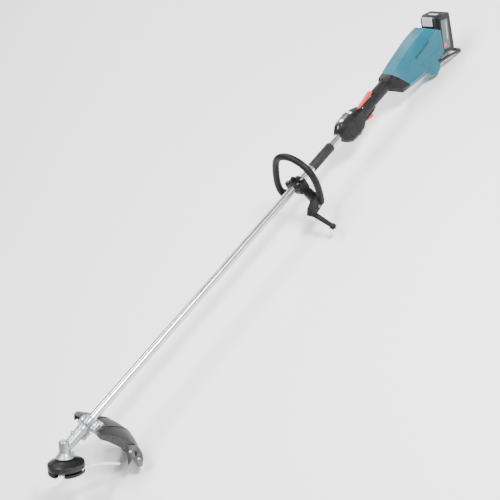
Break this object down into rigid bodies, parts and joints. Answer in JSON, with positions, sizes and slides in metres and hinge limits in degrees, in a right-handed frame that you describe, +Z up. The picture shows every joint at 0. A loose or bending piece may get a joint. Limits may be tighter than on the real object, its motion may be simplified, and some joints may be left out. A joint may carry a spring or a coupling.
{
  "type": "brush cutter",
  "caption": "Battery brush cutter lying down: tilted rotary blade head, fan guard, straight pipe, loop handle, rear grip with trigger, motor housing and slide-on battery.",
  "frame": {"origin": "centre of the bounding box footprint, on the floor the machine lies on", "axes": "+X from the cutting head to the battery, +Y to the operator's right, +Z up from the floor"},
  "size_m": [1.923, 0.2928, 0.2482],
  "materials": {
    "black_steel_rod": "satin black powder coat",
    "black_plastic": "fine grained",
    "battery_black": "fine grained",
    "cell_wrap": "shrink wrap",
    "latch_grey": "fine grained",
    "panel_grey_green": "satin",
    "contact_brass": "bright",
    "blade_plastic": "translucent nylon",
    "steel_bright": "zinc plated",
    "steel_dark": "oiled",
    "indicator_pale": "gloss",
    "panel_gloss": "gloss",
    "case_silver": "silver lacquer",
    "guard_grey": "fine grained",
    "bracket_silver": "silver lacquer",
    "handle_black": "soft grip",
    "head_black": "satin",
    "lens_white": "clear",
    "cutter_steel": "black oxide",
    "red_plastic": "satin",
    "grip_rubber": "matte",
    "tube_steel": "plain",
    "pipe_aluminium": "satin anodised",
    "controller_green": "resin",
    "plate_aluminium": "cast",
    "housing_teal": "satin moulded",
    "stator_copper": "wound",
    "nose_black": "fine grained",
    "button_pale": "satin",
    "bush_rubber": "matte",
    "sleeve_rubber": "fine mesh pattern"
  },
  "bodies": {
    "machine": {"bail": "black_steel_rod", "barrier_bar": "black_plastic", "battery_mount": "black_plastic", "battery_terminals": "contact_brass", "control_panel": "panel_gloss", "gear_case": "case_silver", "gear_case_bearings": "steel_bright", "gear_case_cap": "steel_dark", "gear_case_screws": "steel_bright", "guard": "guard_grey", "guard_bolts": "steel_bright", "guard_bracket_base": "bracket_silver", "guard_bracket_cap": "bracket_silver", "handle_clamp_lower": "black_plastic", "handle_clamp_screws": "steel_dark", "handle_clamp_upper": "black_plastic", "handle_shell_left": "handle_black", "handle_shell_right": "handle_black", "indicator_lens": "lens_white", "line_cutter": "cutter_steel", "line_cutter_screws": "steel_bright", "loop_handle_grip": "grip_rubber", "loop_handle_tube": "tube_steel", "main_pipe": "pipe_aluminium", "motor_bearings": "steel_bright", "motor_controller": "controller_green", "motor_end_plates": "plate_aluminium", "motor_housing_left": "housing_teal", "motor_housing_right": "housing_teal", "motor_stator": "stator_copper", "nose_cap": "nose_black", "pipe_holder": "plate_aluminium", "shaft_bushes": "bush_rubber", "spacer_sleeve": "sleeve_rubber", "switch_module": "black_plastic", "switch_pivot_pins": "steel_bright"},
    "head": {"head_upper_cover": "head_black", "head_lower_plate": "head_black", "head_nut": "steel_dark", "blade_pins": "steel_bright", "output_spindle": "steel_bright", "drive_washer": "steel_bright", "driven_bevel_gear": "steel_dark"},
    "blade_one": {"blade_1": "blade_plastic"},
    "blade_two": {"blade_2": "blade_plastic"},
    "blade_three": {"blade_3": "blade_plastic"},
    "drive": {"drive_shaft": "steel_dark", "drive_pinion": "steel_dark", "shaft_coupling": "steel_dark", "motor_rotor": "steel_dark"},
    "squeeze_trigger": {"trigger": "red_plastic"},
    "lever": {"lock_off_lever": "red_plastic"},
    "power_key": {"power_button": "button_pale"},
    "speed_key": {"speed_button": "button_pale"},
    "battery": {"battery_case": "battery_black", "battery_back_cover": "battery_black", "battery_cells": "cell_wrap", "battery_side_panels": "panel_grey_green", "charge_indicator": "indicator_pale"},
    "battery_latch": {"battery_release_button": "latch_grey"}
  },
  "joints": [
    {"name": "head_spin", "type": "hinge", "parent": "machine", "child": "head", "pos_m": [-0.82032, -0.00282, 0.17663], "axis": [0.5595, 0, 0.8289], "continuous": true},
    {"name": "drive_spin", "type": "hinge", "parent": "machine", "child": "drive", "pos_m": [-0.82032, -0.00282, 0.17663], "axis": [0.9993, 0, -0.0387], "continuous": true},
    {"name": "blade_one_swing", "type": "hinge", "parent": "head", "child": "blade_one", "pos_m": [-0.87592, -0.02347, 0.14696], "axis": [0.5595, 0, 0.8289], "range_deg": [-16, 8]},
    {"name": "blade_two_swing", "type": "hinge", "parent": "head", "child": "blade_two", "pos_m": [-0.82444, -0.01804, 0.11221], "axis": [0.5595, 0, 0.8289], "range_deg": [-21, 3]},
    {"name": "blade_three_swing", "type": "hinge", "parent": "head", "child": "blade_three", "pos_m": [-0.85408, 0.03304, 0.13222], "axis": [0.5595, 0, 0.8289], "range_deg": [-11, 13]},
    {"name": "trigger_squeeze", "type": "hinge", "parent": "machine", "child": "squeeze_trigger", "pos_m": [0.51039, -0.00282, 0.10457], "axis": [0, -1, 0], "range_deg": [0, 13], "stiffness_Nm_per_rad": 0.3, "springref_deg": -11.46},
    {"name": "lever_press", "type": "hinge", "parent": "machine", "child": "lever", "pos_m": [0.52926, -0.00282, 0.13977], "axis": [0, 1, 0], "range_deg": [0, 4], "stiffness_Nm_per_rad": 0.5, "springref_deg": -11.46},
    {"name": "power_press", "type": "slide", "parent": "machine", "child": "power_key", "axis": [-0.0387, 0, -0.9993], "range_m": [0, 0.0008], "stiffness_N_per_m": 300, "springref_m": -0.001},
    {"name": "speed_press", "type": "slide", "parent": "machine", "child": "speed_key", "axis": [-0.0387, 0, -0.9993], "range_m": [0, 0.0008], "stiffness_N_per_m": 300, "springref_m": -0.001},
    {"name": "battery_slide", "type": "slide", "parent": "machine", "child": "battery", "axis": [0.4527, 0, 0.8917], "range_m": [0, 0.06]},
    {"name": "latch_press", "type": "slide", "parent": "battery", "child": "battery_latch", "axis": [-0.4527, 0, -0.8917], "range_m": [0, 0.004], "stiffness_N_per_m": 300, "springref_m": -0.004}
  ],
  "couplings": [
    {"joint": "drive_spin", "follows": "head_spin", "ratio": -1.2857}
  ]
}
